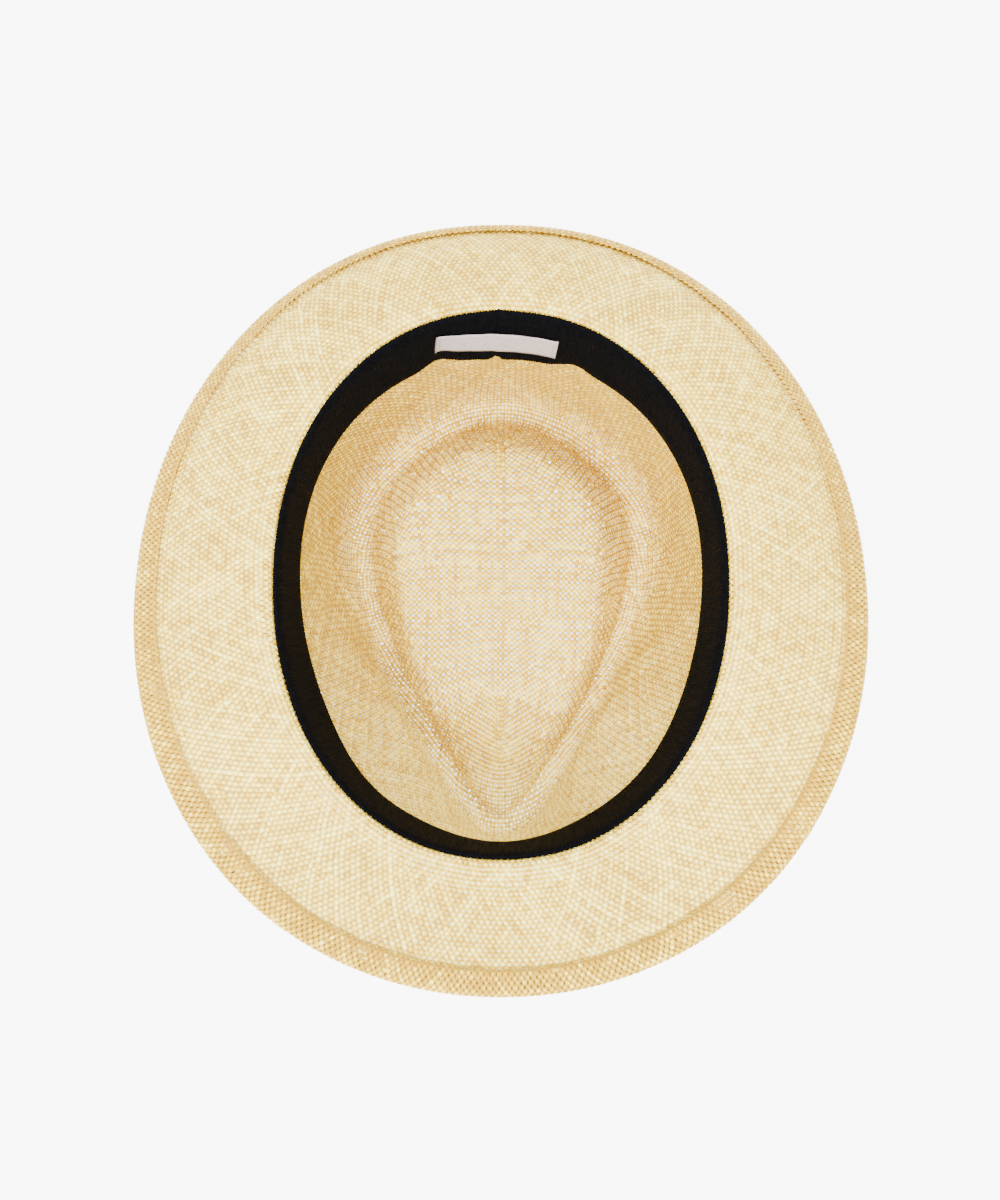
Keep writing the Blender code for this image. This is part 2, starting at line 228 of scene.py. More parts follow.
# The photo's camera.
PHOTO_HEIGHT = 1200  # pixels
FOCAL_LENGTH = 3536.5  # pixels
PIXEL = 0.0003676  # metres to a pixel at the head opening
AIM_BELOW = 17.9  # pixels from the opening's middle down to the photo's
AIM_LEFT = 1.0
SENSOR = 36  # millimetres
CAMERA_TILT = 82  # degrees
CAMERA_DISTANCE = 1.30


def column(name):
    half = np.array([row[COLUMNS.index(name)] for row in SECTIONS], float)
    mirror = -1 if name.endswith("_x") else 1
    return np.concatenate([half, mirror * half[-2:0:-1]])


def around(name, share):
    values = column(name)
    count = len(values)
    step = np.eye(count)
    bend = 4 * step + np.roll(step, 1, axis=1) + np.roll(step, -1, axis=1)
    second = np.roll(values, -1) - 2 * values + np.roll(values, 1)
    curve = np.linalg.solve(bend, 6 * second)
    place = np.mod(share, 1) * count
    low = np.floor(place).astype(int) % count
    high = (low + 1) % count
    t = place - np.floor(place)
    straight = values[low] * (1 - t) + values[high] * t
    return straight + (((1 - t) ** 3 - (1 - t)) * curve[low] + (t**3 - t) * curve[high]) / 6


def oval(share):
    turn = np.linspace(0, 2 * math.pi, OVAL_STEPS + 1)
    side, ahead = np.sin(turn), -np.cos(turn)
    power = 2 / OVAL_POWER
    x = CROWN_WIDTH / 2 * np.sign(side) * np.abs(side) ** power
    y = CROWN_LENGTH / 2 * np.sign(ahead) * np.abs(ahead) ** power
    along = np.concatenate([[0], np.cumsum(np.hypot(np.diff(x), np.diff(y)))])
    at = np.mod(share, 1) * along[-1]
    return np.stack([np.interp(at, along, x), np.interp(at, along, y)], axis=-1)


def length_round():
    return np.linalg.norm(np.diff(oval(np.linspace(0, 1, OVAL_STEPS)), axis=0), axis=1).sum()


def outline(name, share):
    x = around(name + "_x", share) * CROWN_WIDTH / 2
    y = around(name + "_y", share) * CROWN_LENGTH / 2
    return np.stack([x, y], axis=-1)


def ridge(share):
    return outline("ridge", share)


def outward(line, share):
    near = 1e-4
    along = line(share + near) - line(share - near)
    along /= np.linalg.norm(along, axis=-1, keepdims=True)
    return np.stack([along[:, 1], -along[:, 0]], axis=-1)


def ring(plan, height):
    return np.column_stack([plan, np.broadcast_to(height, len(plan))])


def crown_rings(share):
    middle = np.array([0, DENT_CENTRE * CROWN_LENGTH / 2])
    edge, top, foot = outline("dent", share), ridge(share), oval(share)
    rise = around("rise", share) * DENT_DEPTH
    inner_land = top - RIDGE_LAND / 2 * outward(ridge, share)
    outer_land = top + RIDGE_LAND / 2 * outward(ridge, share)
    shoulder = top + RIDGE_ROUND * outward(ridge, share)
    pinch = around("pinch", share)
    rings = []
    for out, sunk in DENT_RINGS:
        rings.append(ring(middle + out * (edge - middle), DENT_DEPTH + sunk * (rise - DENT_DEPTH)))
    rings.append(ring((edge + inner_land) / 2, DENT_WALL * rise))
    rings.append(ring(inner_land, 0))
    rings.append(ring(outer_land, 0))
    rings.append(ring(shoulder, RIDGE_FALL))
    for height, out, pinched in WALL_RINGS:
        out_here = (out - pinched * pinch)[:, None]
        rings.append(ring(shoulder + out_here * (foot - shoulder), height * CROWN_HEIGHT))
    rings.append(ring(foot, CROWN_HEIGHT - BREAK_RADIUS))
    return np.stack(rings, axis=1)


def smooth_through(points, divisions):
    spans = np.diff(points, axis=1)
    width = np.maximum(np.linalg.norm(spans, axis=2), 1e-9)[:, :, None]
    slopes = spans / width
    before, after = slopes[:, :-1], slopes[:, 1:]
    same = before * after > 0
    weight_a = 2 * width[:, 1:] + width[:, :-1]
    weight_b = width[:, 1:] + 2 * width[:, :-1]
    safe_before = np.where(same, before, 1)
    safe_after = np.where(same, after, 1)
    mean = (weight_a + weight_b) / (weight_a / safe_before + weight_b / safe_after)
    inner = np.where(same, mean, 0)
    tangents = np.concatenate([slopes[:, :1], inner, slopes[:, -1:]], axis=1)
    out = [points[:, :1]]
    for k, steps in enumerate(divisions):
        for t in np.arange(1, steps + 1) / steps:
            start, end = points[:, k], points[:, k + 1]
            pull = width[:, k] * (t * (1 - t) ** 2 * tangents[:, k])
            push = width[:, k] * (t * t * (t - 1) * tangents[:, k + 1])
            mix = t * t * (3 - 2 * t)
            out.append(((1 - mix) * start + mix * end + pull + push)[:, None])
    return np.concatenate(out, axis=1)


def brim_slope(share, t):
    root, edge = around("root", share), around("edge", share)
    return np.radians(root + (edge - root) * t**BRIM_CURL)


def brim_rings(share):
    """The bend and the brim, then the fold and the hem, each as a list of finely set rings."""
    foot, out = oval(share), outward(oval, share)
    root = np.radians(around("root", share))
    flat, folded = [], []
    for k in range(1, BEND_STEPS + 1):
        turn = (math.pi / 2 - root) * k / BEND_STEPS
        reach = BREAK_RADIUS * (1 - np.cos(turn))
        height = CROWN_HEIGHT - BREAK_RADIUS + BREAK_RADIUS * np.sin(turn)
        flat.append((reach, height))
    width = BRIM_WIDTH - BREAK_RADIUS
    for k in range(BRIM_STEPS):
        slope = brim_slope(share, (k + 0.5) / BRIM_STEPS)
        reach = reach + np.cos(slope) * width / BRIM_STEPS
        height = height + np.sin(slope) * width / BRIM_STEPS
        flat.append((reach, height))
    half = HEM_THICKNESS / 2
    last = brim_slope(share, 1.0)
    centre_reach = reach - half * np.sin(last)
    centre_height = height + half * np.cos(last)
    for k in range(1, FOLD_STEPS + 1):
        turn = last - math.pi / 2 + math.pi * k / FOLD_STEPS
        reach = centre_reach + half * np.cos(turn)
        height = centre_height + half * np.sin(turn)
        folded.append((reach, height))
    for k in range(HEM_STEPS):
        slope = brim_slope(share, 1 - (k + 0.5) / HEM_STEPS * HEM_WIDTH / width)
        reach = reach - np.cos(slope) * HEM_WIDTH / HEM_STEPS
        height = height - np.sin(slope) * HEM_WIDTH / HEM_STEPS
        folded.append((reach, height))
    return [[ring(foot + r[:, None] * out, h) for r, h in part] for part in (flat, folded)]


def centring():
    flat, folded = brim_rings(np.array([0.0, 0.5]))
    ends = np.array(flat + folded)[:, :, 1]
    return -(ends.min() + ends.max()) / 2


SHIFT = centring()


def resampled(points, count):
    """Each row of points set again at even lengths, count of them, and the rows' lengths."""
    out = np.empty((len(points), count, 3))
    lengths = np.empty(len(points))
    for i, row in enumerate(points):
        along = np.concatenate([[0], np.cumsum(np.linalg.norm(np.diff(row, axis=0), axis=1))])
        at = np.linspace(0, along[-1], count)
        lengths[i] = along[-1]
        for axis in range(3):
            out[i, :, axis] = np.interp(at, along, row[:, axis])
    return out, lengths


class Surface:
    """The straw's middle surface by share of the way round and level along a meridian.

    The level is the same for every meridian at the break, the brim's edge and the hem's end,
    which are the knots; between those it counts even steps.
    """

    def __init__(self):
        share = np.arange(AROUND) / AROUND
        spans = SHOULDER + len(WALL_RINGS) + 1
        crown = smooth_through(crown_rings(share), (SPAN_STEPS,) * spans)
        crown = self.from_grid_start(share, crown)
        flat, folded = brim_rings(share)
        brim = np.stack([crown[:, -1]] + flat, axis=1)
        hem = np.stack([flat[-1]] + folded, axis=1)
        parts, lengths = [], []
        for points in (crown, brim, hem):
            typical = np.median(np.linalg.norm(np.diff(points, axis=1), axis=2).sum(axis=1))
            count = max(int(round(typical / STEP)), 8) + 1
            even, length = resampled(points, count)
            parts.append(even if not parts else even[:, 1:])
            lengths.append(length)
        outer = np.concatenate(parts, axis=1)
        outer[:, :, 1] += SHIFT
        self.crown_length = lengths[0]
        self.knots = np.cumsum([0] + [p.shape[1] - (i == 0) for i, p in enumerate(parts)])
        along = np.gradient(outer, axis=1)
        across = (np.roll(outer, -1, axis=0) - np.roll(outer, 1, axis=0)) / 2
        normal = np.cross(along, across)
        normal[:, 0] = (0, 0, -1)
        normal /= np.linalg.norm(normal, axis=2, keepdims=True)
        if normal[0, 3, 2] > 0:
            normal = -normal
        normal[:, 0] = (0, 0, -1)
        self.normal = normal
        self.middle = outer - WALL / 2 * normal

    def along_meridian(self, table, level):
        """The values of a table of places, steps past them and values, at levels."""
        foot, edge, end = self.knots[1:]
        places = {"middle": 0, "ridge": int(RIDGE_PLACE * foot)}
        places.update(foot=foot, edge=edge, end=end)
        levels = [places[name] + steps for name, steps, value in table]
        return np.interp(level, levels, [value for name, steps, value in table])

    def from_grid_start(self, share, crown):
        """The crown's meridians again, straight in plan from the grid's start to the ridge."""
        dent = crown[:, : SPAN_STEPS * (len(DENT_RINGS) + 1) + 1]
        count = dent.shape[1]
        faces = []
        for i in range(AROUND):
            j = np.arange(count - 1) + i * count
            k = np.arange(count - 1) + (i + 1) % AROUND * count
            faces += np.stack([j, j + 1, k + 1, k], axis=1).tolist()
        tree = BVHTree.FromPolygons(dent.reshape(-1, 3).tolist(), faces)
        start = np.array([0, GRID_START * CROWN_LENGTH / 2])
        steps = np.linspace(0, 0.998, 120)
        new = np.empty((AROUND, len(steps), 3))
        for i in range(AROUND):
            for j, t in enumerate(steps):
                x, y = start + t * (dent[i, -1, :2] - start)
                hit = tree.ray_cast((x, y, RAY_HEIGHT), (0, 0, -1))[0]
                new[i, j] = (x, y, hit.z)
        return np.concatenate([new, crown[:, count - 1 :]], axis=1)

    def read(self, table, share, level):
        """The table at shares and levels; a level is a step of the meridian."""
        place = np.mod(share, 1) * AROUND
        a = np.floor(place).astype(int) % AROUND
        b = (a + 1) % AROUND
        u = (place - np.floor(place))[:, None]
        level = np.clip(level, 0, table.shape[1] - 1.001)
        c = np.floor(level).astype(int)
        v = (level - c)[:, None]
        low = table[a, c] * (1 - v) + table[a, c + 1] * v
        high = table[b, c] * (1 - v) + table[b, c + 1] * v
        return low * (1 - u) + high * u


def grid_nodes(surface):
    """Share and level of the grid's crossings, ring by ring, each ring from the front round."""
    share = np.arange(AROUND + 1) / AROUND
    lead = ridge(share) - np.array([0, GRID_START * CROWN_LENGTH / 2])
    turn = np.unwrap(np.arctan2(lead[:, 1], lead[:, 0]))
    rings = []
    for k in range(1, GRID_RINGS + 1):
        half = np.arange(k) + 0.5
        corner = [(half, -(k - half)), (k - half, half), (-half, k - half), (half - k, -half)]
        x = np.concatenate([c[0] for c in corner]) * GRID_X
        y = np.concatenate([c[1] for c in corner]) * GRID_Y
        angle = np.arctan2(y, x)
        angle = turn[0] + np.mod(angle - turn[0], 2 * math.pi)
        at = np.interp(angle, turn, share)
        crown = np.interp(at, share, np.append(surface.crown_length, surface.crown_length[0]))
        level = np.hypot(x, y) / crown * surface.knots[1]
        order = np.argsort(at)
        rings.append((at[order], level[order]))
    arms = np.interp(turn[0] + np.arange(4) * math.pi / 2, turn, share)
    return rings, arms


def ring_counts():
    ks = np.arange(1, LAST_RING + 1)
    table = np.array(RINGS, float)
    counts = np.where(ks <= GRID_RINGS, 4 * ks, np.interp(ks, table[:, 0], table[:, 1]))
    return np.round(counts).astype(int)


class Weave:
    """Crossings in rings. Each crossing has a strand going on clockwise and one the other way.

    Between two neighbours of a ring the next ring has one crossing, where their strands
    meet, or two where a new strand is folded over both.
    """

    def __init__(self, surface):
        rng = np.random.default_rng(SEED)
        counts = ring_counts()
        self.first = np.concatenate([[0], np.cumsum(counts)])
        total = self.first[-1]
        self.on = np.full((2, total), -1)  # the next crossing out on each of the two strands
        self.back = np.full((2, total), -1)
        self.new = np.zeros((2, total), bool)  # back is across a fold
        self.ring_of = np.repeat(np.arange(1, LAST_RING + 1), counts)
        share = np.empty(total)
        level = np.empty(total)
        grid, arms = grid_nodes(surface)
        share[:4], level[:4] = grid[0]
        for i in range(4):
            self.fold(i, (i + 1) % 4)
        knots = surface.knots
        recent = np.zeros(SECTORS)
        for k in range(1, LAST_RING):
            here, there = self.first[k - 1], self.first[k]
            n, m = counts[k - 1], counts[k]
            a = share[here:there]
            after = np.append(a[1:], a[0] + 1)
            gap_middle = (a + after) / 2
            gaps = set()
            if k < LADDER_RINGS:
                for arm in arms if k < GRID_RINGS else arms[::2]:
                    off = arm - gap_middle
                    gaps.add(int(np.abs(off - np.round(off)).argmin()))
            if k >= GRID_RINGS:
                at = surface.read(surface.middle, a, level[here:there])
                width = np.linalg.norm(np.roll(at, -1, axis=0) - at, axis=1)
                width *= 1 - recent[np.floor(np.mod(gap_middle, 1) * SECTORS).astype(int)]
                for gap in np.argsort(-width * (1 + GAP_SPREAD * rng.random(n))):
                    if len(gaps) < m - n and not gaps & {gap, (gap + 1) % n, (gap - 1) % n}:
                        gaps.add(gap)
                recent *= SPARED_KEPT
                for gap in gaps:
                    slot = int(np.mod(gap_middle[gap], 1) * SECTORS)
                    recent[[slot - 1, slot, (slot + 1) % SECTORS]] += SPARED
            j = there
            places = []
            for i in range(n):
                left, right = here + i, here + (i + 1) % n
                if i in gaps:
                    self.link(0, left, j)
                    self.link(1, right, j + 1)
                    self.fold(j, j + 1)
                    places += [a[i] + (after[i] - a[i]) / 3, a[i] + (after[i] - a[i]) * 2 / 3]
                    j += 2
                else:
                    self.link(0, left, j)
                    self.link(1, right, j)
                    places.append((a[i] + after[i]) / 2)
                    j += 1
            places = np.array(places)
            if k < GRID_RINGS:
                off = grid[k][0] - places[0]
                turned = int(np.abs(off - np.round(off)).argmin())
                at = np.roll(grid[k][0], -turned)
                share[there : there + m] = at + np.round(places - at)
                level[there : there + m] = np.roll(grid[k][1], -turned)
            else:
                even = np.arange(m) / m
                even += (places - even).mean()
                share[there : there + m] = places + EVENED * (even - places)
                grow = (k + 1 - GRID_RINGS) / (LAST_RING - GRID_RINGS)
                inner = np.interp(
                    np.mod(share[there : there + m], 1),
                    np.concatenate([grid[-1][0] - 1, grid[-1][0], grid[-1][0] + 1]),
                    np.tile(grid[-1][1], 3),
                )
                level[there : there + m] = inner + grow * (knots[3] - inner)
        self.share, self.level = share, level
        self.settle(surface)

    def link(self, family, start, end):
        self.on[family, start] = end
        self.back[family, end] = start

    def fold(self, left, right):
        """A new strand over two neighbours, which goes on both ways: to the left and right."""
        self.back[1, left] = right
        self.back[0, right] = left
        self.new[1, left] = True
        self.new[0, right] = True

    def settle(self, surface):
        """Slides the crossings over the surface until the strands pull evenly.

        The hem counts as laid out flat beyond the brim's edge here.
        """
        start, end = [], []
        for family in (0, 1):
            linked = np.flatnonzero(self.on[family] >= 0)
            start.append(linked)
            end.append(self.on[family][linked])
        folds = np.flatnonzero(self.new[1])
        start = np.concatenate(start + [folds])
        end = np.concatenate(end + [self.back[1][folds]])
        total = len(self.share)
        free = (self.ring_of > FIXED_RINGS).astype(float)
        inner = free * (self.ring_of < LAST_RING)
        degree = np.bincount(start, minlength=total) + np.bincount(end, minlength=total)
        edge = surface.knots[2]
        flat = surface.middle.copy()
        beyond = flat[:, edge - 3] - flat[:, edge - 4]
        for k in range(edge - 2, flat.shape[1]):
            flat[:, k] = flat[:, k - 1] + beyond
        round_ways = np.roll(flat, -1, axis=0) - np.roll(flat, 1, axis=0)
        ways = np.concatenate([round_ways * AROUND / 2, np.gradient(flat, axis=1)], axis=2)
        speed = np.zeros((2, total))
        for turn in range(ROUNDS):
            at = surface.read(flat, self.share, self.level)
            step = at[end] - at[start]
            length = np.linalg.norm(step, axis=1)
            if turn == 0:
                grid = np.maximum(self.ring_of[start], self.ring_of[end]) <= GRID_RINGS
                rest = SLACK * np.where(grid, length, length[~grid].mean())
                rest[len(rest) - len(folds) :][~grid[-len(folds) :]] *= FOLD_PULL
            if turn % MEASURED_EACH == 0:
                here = surface.read(ways, self.share, self.level)
                across, along = here[:, :3], here[:, 3:]
                aa, mm = (across**2).sum(axis=1), (along**2).sum(axis=1)
                am = (across * along).sum(axis=1)
                size = np.maximum(aa * mm - am**2, 1e-18)
            pull = (1 - rest / length)[:, None] * step
            move = np.empty((total, 3))
            for axis in range(3):
                toward = np.bincount(start, pull[:, axis], total)
                away = np.bincount(end, pull[:, axis], total)
                move[:, axis] = (toward - away) * STEP_SIZE / degree
            ra, rm = (move * across).sum(axis=1), (move * along).sum(axis=1)
            speed *= SPEED_KEPT
            speed += np.stack([mm * ra - am * rm, aa * rm - am * ra]) / size
            speed[1] = np.clip(speed[1], -1, 1)
            self.share += free * speed[0]
            self.level += inner * speed[1]
        sums = np.bincount(start, length, total) + np.bincount(end, length, total)
        self.spacing = sums / degree / length.mean()
        added = folds[self.ring_of[folds] > GRID_RINGS]
        for left in (added, self.back[1][added]):
            self.spacing[left] += FOLD_WIDER
        self.spacing[self.back[0][added]] += BESIDE_FOLD_WIDER
        self.spacing[self.back[1][self.back[1][added]]] += BESIDE_FOLD_WIDER

    def paths(self):
        """Each strand as the crossings that it passes and the family it is in at each."""
        out = []
        for start in range(self.first[-2], self.first[-1]):
            node, crossings, families = start, [start], [1]
            while not self.new[1, node]:
                node = self.back[1, node]
                crossings.append(node)
                families.append(1)
            node = self.back[1, node]
            while node >= 0:
                crossings.append(node)
                families.append(0)
                node = self.on[0, node]
            out.append((np.array(crossings), np.array(families)))
        return out


def build_mesh(name, vertices, quads, attributes=()):
    mesh = bpy.data.meshes.new(name)
    mesh.vertices.add(len(vertices))
    mesh.vertices.foreach_set("co", np.asarray(vertices, np.float32).ravel())
    mesh.loops.add(4 * len(quads))
    mesh.loops.foreach_set("vertex_index", np.asarray(quads, np.int32).ravel())
    mesh.polygons.add(len(quads))
    mesh.polygons.foreach_set("loop_start", np.arange(0, 4 * len(quads), 4, dtype=np.int32))
    mesh.update(calc_edges=True)
    for label, values in attributes:
        layer = mesh.attributes.new(label, "FLOAT", "POINT")
        layer.data.foreach_set("value", np.asarray(values, np.float32))
    mesh.validate()
    mesh.shade_smooth()
    obj = bpy.data.objects.new(name, mesh)
    bpy.context.scene.collection.objects.link(obj)
    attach(obj, "root")
    return obj


def strand_mesh(surface, weave, paths, name, rng):
    """The strands of some paths as one mesh, with a flat four-cornered section at each crossing.

    Two values go with it to the material: the tone, which carries painted light and shade as well
    as the strand's own tone, and the phase, which is a full turn from one crossing to the next and
    puts a painted highlight at each crossing.
    """
    parity = np.where(weave.ring_of % 2 == 0, 1, -1)
    vertices, quads, tones_and_painted_light, phases = [], [], [], []
    base = 0
    for crossings, families in paths:
        sign = parity[crossings] * np.where(families == 0, 1, -1)
        normal = surface.read(surface.normal, weave.share[crossings], weave.level[crossings])
        normal /= np.linalg.norm(normal, axis=1, keepdims=True)
        point = surface.read(surface.middle, weave.share[crossings], weave.level[crossings])
        point = point + (sign * LIFT)[:, None] * normal
        along = np.gradient(point, axis=0)
        side = np.cross(along, normal)
        side /= np.linalg.norm(side, axis=1, keepdims=True)
        count = len(crossings)
        share_of_width = WIDTH_OF_ITS_OWN + WIDTH_BY_SPACING * weave.spacing[crossings]
        wide = STRAND_WIDTH / 2 * np.clip(share_of_width, *WIDTH_LIMITS)
        between, within = WIDTH_SPREAD
        wide = wide * rng.normal(1, between) * (1 + within * rng.standard_normal(count))
        aside, above = wide[:, None] * side, STRAND_THICK / 2 * normal
        section = [point + aside + above, point - aside + above]
        section += [point - aside - above, point + aside - above]
        vertices.append(np.stack(section, axis=1).reshape(-1, 3))
        i = np.arange(count - 1)[:, None] * 4
        j = np.arange(4)[None, :]
        k = (j + 1) % 4
        quad = np.stack([i + j, i + k, i + 4 + k, i + 4 + j], axis=-1).reshape(-1, 4) + base
        ends = np.array([[3, 2, 1, 0], [0, 1, 2, 3]]) + [[base], [base + 4 * (count - 1)]]
        quads.append(np.concatenate([quad, ends]))
        slow = rng.standard_normal(count // TONE_RUN + 2)
        drift = np.interp(np.arange(count) / TONE_RUN, np.arange(len(slow)), slow)
        tone_and_painted_light = rng.normal(0, 1) + TONE_ALONG * drift
        level = weave.level[crossings]
        # painted shade and highlight by level along the meridian, added to the strand's own tone
        tone_and_painted_light += surface.along_meridian(PAINTED_LIGHT_ALONG, level)
        # painted light on the crown's inside: most at the front, none from the sides round to the
        # back
        ahead = np.clip(np.cos(2 * math.pi * weave.share[crossings]), 0, 1) ** 2
        tone_and_painted_light += ahead * surface.along_meridian(FRONT_LIGHT, level)
        tone_and_painted_light += rng.standard_normal(count) * surface.along_meridian(SPECKLE, level)
        tones_and_painted_light.append(np.repeat(tone_and_painted_light, 4))
        phases.append(np.repeat(2 * math.pi * np.arange(count), 4))
        base += 4 * count
    return build_mesh(
        name,
        np.concatenate(vertices),
        np.concatenate(quads),
        [("tone_and_painted_light", np.concatenate(tones_and_painted_light)), ("phase", np.concatenate(phases))],
    )


def new_material(name, colour, roughness):
    made = bpy.data.materials.new(name)
    made.use_nodes = True
    shader = made.node_tree.nodes["Principled BSDF"]
    shader.inputs["Base Color"].default_value = (*colour, 1)
    shader.inputs["Roughness"].default_value = roughness
    return made, made.node_tree, shader


def ramp(nodes, stops):
    made = nodes.new("ShaderNodeValToRGB")
    stop = made.color_ramp.elements
    for place, colour in stops[1:-1]:
        stop.new(place)
    for element, (place, colour) in zip(stop, stops):
        element.position = place
        element.color = (*colour, 1)
    return made


def noise(nodes, links, vector, scale, detail):
    made = nodes.new("ShaderNodeTexNoise")
    made.inputs["Scale"].default_value = scale
    made.inputs["Detail"].default_value = detail
    links.new(vector, made.inputs["Vector"])
    return made.outputs["Fac"]


def bump(nodes, links, shader, height, strength, distance):
    made = nodes.new("ShaderNodeBump")
    made.inputs["Strength"].default_value = strength
    made.inputs["Distance"].default_value = distance
    links.new(height, made.inputs["Height"])
    links.new(made.outputs["Normal"], shader.inputs["Normal"])


def scaled_sum(nodes, links, value, factor, added):
    made = nodes.new("ShaderNodeMath")
    made.operation = "MULTIPLY_ADD"
    made.inputs[1].default_value = factor
    links.new(value, made.inputs[0])
    links.new(added, made.inputs[2])
    return made.outputs[0]


def straw_material():
    made, tree, shader = new_material("woven_straw", (0.8, 0.66, 0.42), 0.6)
    nodes, links = tree.nodes, tree.links
    shader.inputs["Specular IOR Level"].default_value = 0.12
    place = nodes.new("ShaderNodeTexCoord").outputs["Object"]
    tone_and_painted_light, phase = nodes.new("ShaderNodeAttribute"), nodes.new("ShaderNodeAttribute")
    tone_and_painted_light.attribute_name, phase.attribute_name = "tone_and_painted_light", "phase"
    # A painted highlight: the cosine of the phase is lightest at each crossing.
    float_middle = nodes.new("ShaderNodeMath")
    float_middle.operation = "COSINE"
    links.new(phase.outputs["Fac"], float_middle.inputs[0])
    patches = noise(nodes, links, place, *PATCHES)
    grain = noise(nodes, links, place, *GRAIN)
    shade = scaled_sum(nodes, links, tone_and_painted_light.outputs["Fac"], TONE_STEP, patches)
    shade = scaled_sum(nodes, links, float_middle.outputs[0], FLOAT_LIGHT, shade)
    colours = ramp(nodes, STRAW_STOPS)
    links.new(shade, colours.inputs["Fac"])
    links.new(colours.outputs["Color"], shader.inputs["Base Color"])
    gloss = ramp(nodes, GLOSS_STOPS)
    links.new(patches, gloss.inputs["Fac"])
    links.new(gloss.outputs["Color"], shader.inputs["Roughness"])
    bump(nodes, links, shader, grain, 0.3, 0.0002)
    return made


def ribbon_material(name, colour, roughness, stops, patches, specular=None, relief=None):
    """Noise picks the colour from the stops; patches has its scale and detail.

    The relief is a bump's scale, detail, strength and depth.
    """
    made, tree, shader = new_material(name, colour, roughness)
    nodes, links = tree.nodes, tree.links
    place = nodes.new("ShaderNodeTexCoord").outputs["Object"]
    colours = ramp(nodes, stops)
    links.new(noise(nodes, links, place, *patches), colours.inputs["Fac"])
    links.new(colours.outputs["Color"], shader.inputs["Base Color"])
    if specular is not None:
        shader.inputs["Specular IOR Level"].default_value = specular
    if relief:
        scale, detail, strength, distance = relief
        bump(nodes, links, shader, noise(nodes, links, place, scale, detail), strength, distance)
    return made


def black_material():
    relief = (4000, 2, 0.4, 0.0002)
    plain = (0.0030, 0.0026, 0.0020)
    return ribbon_material("black_grosgrain", plain, 0.9, BLACK_STOPS, (420, 4), 0.03, relief)


def pale_material():
    relief = (2600, 1, 0.5, 0.0003)
    return ribbon_material("pale_tape", (0.62, 0.56, 0.50), 0.8, PALE_STOPS, (900, 5), 0.1, relief)


def thread_material():
    return ribbon_material("label_thread", (0.20, 0.17, 0.15), 0.8, THREAD_STOPS, (1500, 2))


def straw(surface, finish):
    weave = Weave(surface)
    rng = np.random.default_rng(SEED + 1)
    paths = weave.paths()
    groups = {}
    for crossings, families in paths:
        turn = crossings[np.argmax(families == 0)]
        start = weave.ring_of[turn]
        quarter = int(np.mod(weave.share[turn] + 0.125, 1) * 4)
        if start > GRID_RINGS:
            name = ("straw_front", "straw_right", "straw_back", "straw_left")[quarter]
        else:
            name = ("straw_crossways", "straw_lengthways")[quarter % 2]
        groups.setdefault(name, []).append((crossings, families))
    for name, members in groups.items():
        obj = strand_mesh(surface, weave, members, name, rng)
        obj.data.materials.append(finish)
        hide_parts("hat_body")
        print(name, len(members), "strands", 2 * len(obj.data.polygons), "triangles")


def wall_plan(share, height, inward):
    spans = len(WALL_RINGS) + 1
    rings = smooth_through(crown_rings(share), (1,) * SHOULDER + (8,) * spans)
    wall = rings[:, SHOULDER:]
    heights = np.broadcast_to(height, len(share))
    plan = np.array([
        [np.interp(h, row[:, 2], row[:, axis]) for axis in (0, 1)] for row, h in zip(wall, heights)
    ])
    plan[:, 1] += SHIFT
    return plan - np.broadcast_to(inward, len(share))[:, None] * outward(oval, share)


def sweatband_sections(share):
    top_height = CROWN_HEIGHT - SWEATBAND_TOP
    foot_height = top_height - SWEATBAND_HEIGHT
    at_break = CROWN_HEIGHT - BREAK_RADIUS
    top = ring(wall_plan(share, at_break, WALL + GAP), top_height)
    to_back = (1 - np.cos(2 * math.pi * share)) / 2
    stand_off = STAND_OFF + END_STAND_OFF * ((1 - to_back) ** 6 + 2 * to_back**6)
    aside = (share - LABEL_PLACE) * length_round()
    for amount, place, reach in BAND_EDGE:
        stand_off += amount * np.exp(-(((aside - place) / reach) ** 2))
    plan = wall_plan(share, foot_height, WALL) - stand_off[:, None] * outward(oval, share)
    return top, ring(plan, foot_height)


def strip_mesh(name, rows, closed=False):
    """Like sections one after another, given as an array of sections by corners.

    They go round in a closed loop, or each end is closed with quads across it.
    """
    count, corners = rows.shape[:2]
    i = np.arange(count if closed else count - 1)[:, None] * corners
    j = np.arange(corners)[None, :]
    after, beside = (i + corners) % (count * corners), (j + 1) % corners
    quads = np.stack([i + j, i + beside, after + beside, after + j], -1).reshape(-1, 4)
    if not closed:
        k = np.arange(corners // 2 - 1)
        cap = np.stack([k, k + 1, corners - 2 - k, corners - 1 - k], -1)
        quads = np.concatenate([quads, cap, cap[:, ::-1] + (count - 1) * corners])
    return build_mesh(name, rows.reshape(-1, 3), quads)


def ribbed_shares():
    """Four places to each rib all the way round, and the ribs' wave at them."""
    ribs = int(round(length_round() / RIB))
    share = np.arange(ribs * 4) / (ribs * 4)
    return share, np.cos(math.pi / 2 * np.arange(len(share)))[:, None]


def ribbon_rows(line, out, up, wave):
    """Sections of a ribbed ribbon whose middle is line(t) at t of its height."""
    edge_half, thicker, edge_reach = 0.25, 0.21, 0.03  # of its thickness, and of its height
    rib_rise, scallop = 0.00008, 0.00022
    near, far = [], []
    for t in RIBBON_LEVELS:
        edge = min(t, 1 - t)
        half = RIBBON * (edge_half + thicker * min(1, edge / edge_reach)) + rib_rise * wave
        middle = line(t)
        if edge == 0:
            middle = middle + (1 if t == 0 else -1) * up * (scallop * (1 - wave))
        near.append(middle - out * half)
        far.append(middle + out * half)
    return np.stack(near + far[::-1], axis=1)


